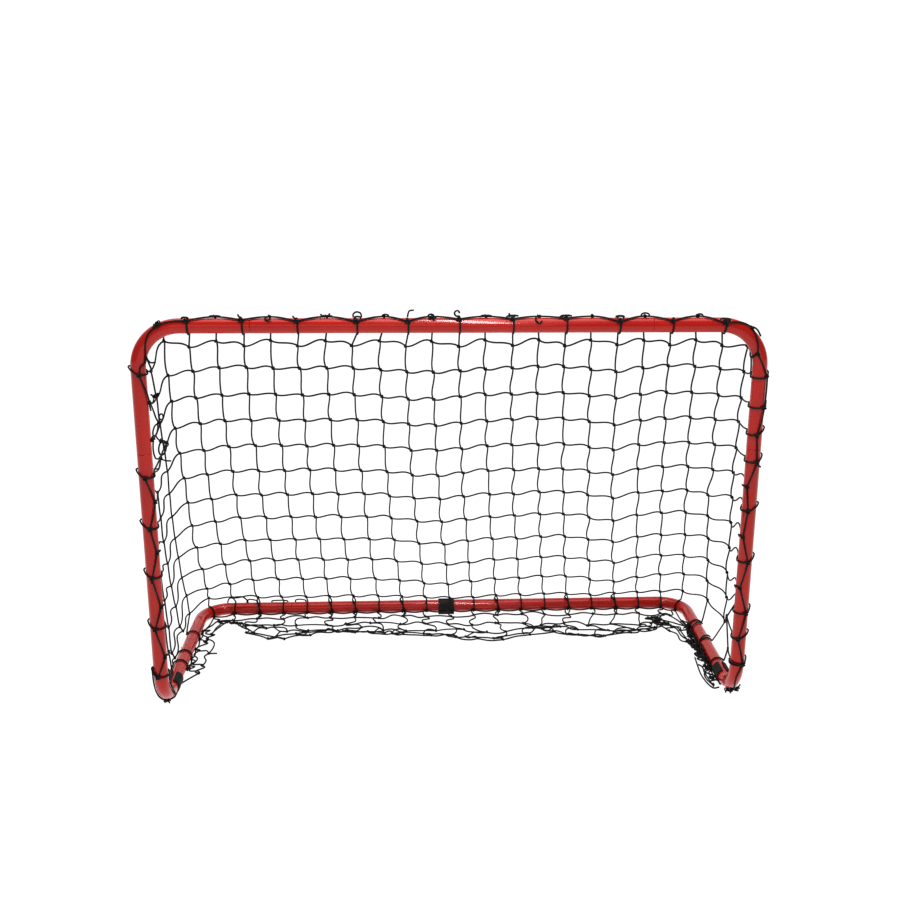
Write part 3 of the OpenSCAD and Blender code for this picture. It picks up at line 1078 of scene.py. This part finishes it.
def side_tangle(twine):
    """Twine gathered tight against the right side tube, and a slack loop in front of it."""
    rand = random.Random(TANGLE_SEED)
    for k in range(6):
        points = []
        for y in np.arange(0.56 - 0.01 * k, 0.22, -0.026):
            reach = TUBE_R + rand.uniform(0.000, 0.020) + 0.02 * max(0, (y - 0.5) / 0.1)
            y += rand.uniform(-0.008, 0.008)
            points.append(vec(POST_X - reach, FRONT_Y + y, rand.uniform(0.004, 0.046)))
        twine.curve(points, 4)
        for p in points[1::3]:
            knot(twine, p, RIGHT, vec(0, 1, 0.2), 1.1)
    for y in (0.35, 0.46):
        low = vec(POST_X - TUBE_R - 0.012, FRONT_Y + y, 0.012)
        place = (POST_X, FRONT_Y + y + 0.02, -RIGHT)
        twine.curve([low] + over_tube(place, 20, 150, 6, WRAP_R + 0.001, 0.03), 3)
    edge = ((0.872, 0.320), (0.866, 0.255), (0.862, 0.190), (0.868, 0.130), (0.880, 0.098),
            (0.900, 0.102))
    inner = ((0.868, 0.255), (0.877, 0.235), (0.875, 0.180), (0.880, 0.098))
    for line, lift in ((edge, 0), (inner, 0.006)):
        twine.curve([vec(x, FRONT_Y + y, FLOOR_LIE + lift) for x, y in line], 6)


side_tangle(skirt_right)

# one free loop and a free end at the left foot
skirt_left.curve([SPOTS[0, 2]] + [
    vec(-POST_X + x, FRONT_Y + y, FLOOR_LIE)
    for x, y in ((0.040, 0.240), (0.012, 0.195), (0.006, 0.180))
], 6)
knot(skirt_left, vec(-POST_X + 0.006, FRONT_Y + 0.180, 0.005), RIGHT, BACK, 1.2)
tail(skirt_left, SPOTS[2, 2], vec(1, 0.2, 0), 0.032, 0.3)


# -------- gathers at the upper left

RING_POINTS = 16


def small_ring(twine, centre, width, height, lean=0.0, turns=1):
    """Slack ring hanging in the left side panel, seen from the front."""
    points = []
    closed = turns == 1
    n = RING_POINTS * turns
    for k in range(n if closed else n + 1):
        a = 2 * math.pi * k / RING_POINTS
        grow = 1 + 0.10 * k / n
        across = 0.5 * width * math.cos(a) * grow
        up = 0.5 * height * math.sin(a) * grow
        points.append(centre + vec(across + lean * math.sin(a), 0.9 * across, up))
    twine.add(catmull(points, 2, closed), closed=closed)


def gathers(twine):
    """Where the border left the post, two rows were pulled together with rings and knots."""
    lead, second = POST_KNOTS[-1, 2], POST_KNOTS[-1, 4]

    def at(y, z, out=0.004):
        return vec(-POST_X - out, FRONT_Y + y, z + PAD_BASE)

    high, upper, lower = at(0.129, 1.004, -0.010), at(0.190, 0.904, -0.005), at(0.137, 0.870)
    middle, meet = at(0.232, 0.834, 0.003), at(0.215, 0.781)
    twine.curve([lead, at(0.150, 0.965), at(0.178, 0.923, 0.001), upper], 6)
    tail(twine, lead, vec(0.1, 0, -1), 0.026, 0.2)
    small_ring(twine, at(0.175, 0.928, -0.016), 0.010, 0.018)
    knot(twine, upper, RIGHT, UP, 1.3)
    small_ring(twine, at(0.172, 0.886), 0.011, 0.036, 0.005)
    knot(twine, lower, RIGHT, UP, 1.3)
    twine.curve([at(0.170, 0.868), at(0.200, 0.848), middle])
    knot(twine, middle, RIGHT, UP, 1.4)
    small_ring(twine, at(0.240, 0.821, -0.010), 0.011, 0.016)
    small_ring(twine, at(0.249, 0.806), 0.019, 0.045, 0.003, 2)
    knot(twine, meet, RIGHT, UP, 1.4)
    for line in (
        [meet, at(0.270, 0.757), at(0.282, 0.752, -0.013)],
        [lower, at(0.126, 0.834), at(0.150, 0.800), meet],
        [meet, at(0.186, 0.758), at(0.121, 0.774)],
        [meet, at(0.180, 0.756), post_point(-1, 0.804, -120), post_point(-1, 0.798, -60), second],
    ):
        twine.curve(line, 6)
    for place in (high, at(0.125, 1.010, -0.020)):
        knot(twine, place, RIGHT, UP, 1.1)
    tail(twine, high, vec(-0.5, -0.2, 0.3), 0.014, 0.3)
    twine.curve([high, at(0.144, 0.979, 0.000), lead])


gathers(left)


# -------- ties and feet


def foot_point(side, bend, angle, reach=WRAP_R):
    """Point on a foot bend: bend 0 at the post to 90 at the side tube; angle 0 outside the bend."""
    b, a = math.radians(bend), math.radians(angle)
    radial = vec(0, -math.cos(b), -math.sin(b))
    centre = vec(side * POST_X, FRONT_Y + FOOT_BEND_R, GROUND_Z + FOOT_BEND_R)
    outward = vec(side * math.sin(a), 0, 0)
    return centre + radial * (FOOT_BEND_R + reach * math.cos(a)) + reach * outward


def foot_left():
    twine = Twine()
    # the border runs down the foot's outer edge and is tied underneath
    low = foot_point(-1, 70, 8, WRAP_R + 0.002)
    path = [POST_KNOTS[-1, ROWS], post_point(-1, 0.172, 62)]
    path += [foot_point(-1, b, a) for b, a in ((4, 78), (18, 74), (32, 60), (46, 42), (60, 22))]
    twine.curve(path + [low])
    for k in range(3):
        knot(twine, low + vec(0.003 * k - 0.003, 0.004 * (k - 1), 0.002), RIGHT, UP, 1.7)
    tail(twine, low, vec(0.6, -0.5, -0.1), 0.016, 0.4)
    # and back up the inner side to the last rung
    bend = (74, -30), (72, -62), (60, -85), (44, -100), (26, -112)
    path = [foot_point(-1, b, a) for b, a in bend]
    twine.curve([low] + path + [KNOTS[-4, ROWS]])
    return twine


def foot_right():
    twine = Twine()
    low = foot_point(1, 62, 28, WRAP_R + 0.003)
    path = [foot_point(1, b, a) for b, a in ((6, 14), (20, -8), (36, -2), (50, 16))]
    twine.curve([POST_KNOTS[1, ROWS]] + path + [low])
    for k in range(4):
        spot = low + vec(-0.010 * k + 0.008, 0.006 * (k % 2), -0.001 * k)
        knot(twine, spot, RIGHT, UP, 1.7)
        tail(twine, spot, vec(0.5 - 0.3 * k, -0.3, 0.5 - 0.35 * k), 0.014, 0.5)
    tail(twine, low + vec(0.008, 0, 0), vec(0.7, 0, 0.7), 0.022, 0.3)
    # second turn across the post just above the foot
    twine.curve(round_post(1, 0.158, 0.150, -100, 33, WRAP_R + 0.001, 10), 3)
    return twine


# -------- the net's pieces

for name, twine, node in (
    ("net_back_twine", back, "net_back"),
    ("net_side_left_twine", left, "net_side_left"),
    ("net_side_right_twine", right_side, "net_side_right"),
    ("net_border_top", border_top, "net_loops_top"),
    ("net_border_left", border_left, "net_loops_left"),
    ("net_border_right", border_right, "net_loops_right"),
    ("net_border_rear", border_rear, "net_loops_rear"),
    ("net_skirt_rear_twine", skirt_rear, "net_skirt_rear"),
    ("net_skirt_left_twine", skirt_left, "net_skirt_left"),
    ("net_skirt_right_twine", skirt_right, "net_skirt_right"),
    ("foot_tie_left_twine", foot_left(), "foot_tie_left"),
    ("foot_tie_right_twine", foot_right(), "foot_tie_right"),
):
    make_twine(name, twine, node)


# -------- floor, light and camera


def make_floor():
    """Pale floor that curves up behind the goal."""
    width, front, back_y, rise, radius = 14.0, -7.0, 7.0, 8.0, 3.0
    profile = [(front, 0.0), (back_y - radius, 0.0)]
    profile += [
        (back_y - radius + radius * math.sin(a), radius - radius * math.cos(a))
        for a in np.linspace(0, math.pi / 2, 16)[1:]
    ]
    profile.append((back_y, rise))
    verts = [(x, y, z) for y, z in profile for x in (-width, width)]
    faces = [(2 * k, 2 * k + 1, 2 * k + 3, 2 * k + 2) for k in range(len(profile) - 1)]
    mesh = smooth_mesh("floor", verts, faces)
    pale = Surface("pale_floor")
    pale.set(Base_Color=(0.15, 0.15, 0.15, 1), Roughness=0.9, Specular_IOR_Level=0.0,
             Emission_Color=(1, 1, 1, 1), Emission_Strength=0.95)
    mesh.materials.append(pale.material)
    new_object("floor", mesh)


def area_light(name, place, target, size, power):
    data = bpy.data.lights.new(name, "AREA")
    data.shape = "RECTANGLE"
    data.size, data.size_y = size
    data.energy = power
    light = new_object(name, data)
    light.location = place
    light.rotation_euler = (Vector(target) - Vector(place)).to_track_quat("-Z", "Y").to_euler()


def make_lights():
    area_light("key", (0.195, -1.6, 3.9), (0.05, FRONT_Y, TOP_Z), (0.24, 3.4), 50)
    area_light("top", (0, 0.1, 4.2), (0, 0.2, 0), (5.0, 3.0), 84)
    area_light("front", (-0.6, -4.6, 2.2), (0, 0, 0.6), (3.0, 2.0), 18)
    world = bpy.data.worlds.new("world")
    world.use_nodes = True
    nodes, links = world.node_tree.nodes, world.node_tree.links
    sky = nodes["Background"]
    sky.inputs["Strength"].default_value = 0.32
    seen = nodes.new("ShaderNodeBackground")
    path = nodes.new("ShaderNodeLightPath")
    pick = nodes.new("ShaderNodeMixShader")
    for background in (sky, seen):
        background.inputs["Color"].default_value = (1, 1, 1, 1)
    links.new(path.outputs["Is Camera Ray"], pick.inputs["Fac"])
    links.new(sky.outputs["Background"], pick.inputs[1])
    links.new(seen.outputs["Background"], pick.inputs[2])
    links.new(pick.outputs["Shader"], nodes["World Output"].inputs["Surface"])
    bpy.context.scene.world = world


CAMERA_PLACE = (-0.1165, -3.5939, 1.8082)
CAMERA_YAW, CAMERA_PITCH, CAMERA_ROLL = (math.radians(a) for a in (3.11, 15.42, 0.41))


def make_camera():
    data = bpy.data.cameras.new("camera")
    data.lens = 44.38
    data.sensor_width = 36.0
    data.shift_x, data.shift_y = -0.0254, -0.0166
    camera = new_object("camera", data)
    heading = vec(math.sin(CAMERA_YAW), math.cos(CAMERA_YAW), 0)
    forward = heading * math.cos(CAMERA_PITCH) - UP * math.sin(CAMERA_PITCH)
    level = np.cross(heading, UP)
    rise = np.cross(level, forward)
    right = level * math.cos(CAMERA_ROLL) + rise * math.sin(CAMERA_ROLL)
    up = rise * math.cos(CAMERA_ROLL) - level * math.sin(CAMERA_ROLL)
    rotation = Matrix(np.stack([right, up, -forward], 1).tolist())
    camera.matrix_world = Matrix.Translation(CAMERA_PLACE) @ rotation.to_4x4()
    bpy.context.scene.camera = camera


make_floor()
make_lights()
make_camera()
bpy.context.scene.view_settings.view_transform = "Standard"
bpy.context.scene.view_settings.gamma = 0.76             # firm contrast
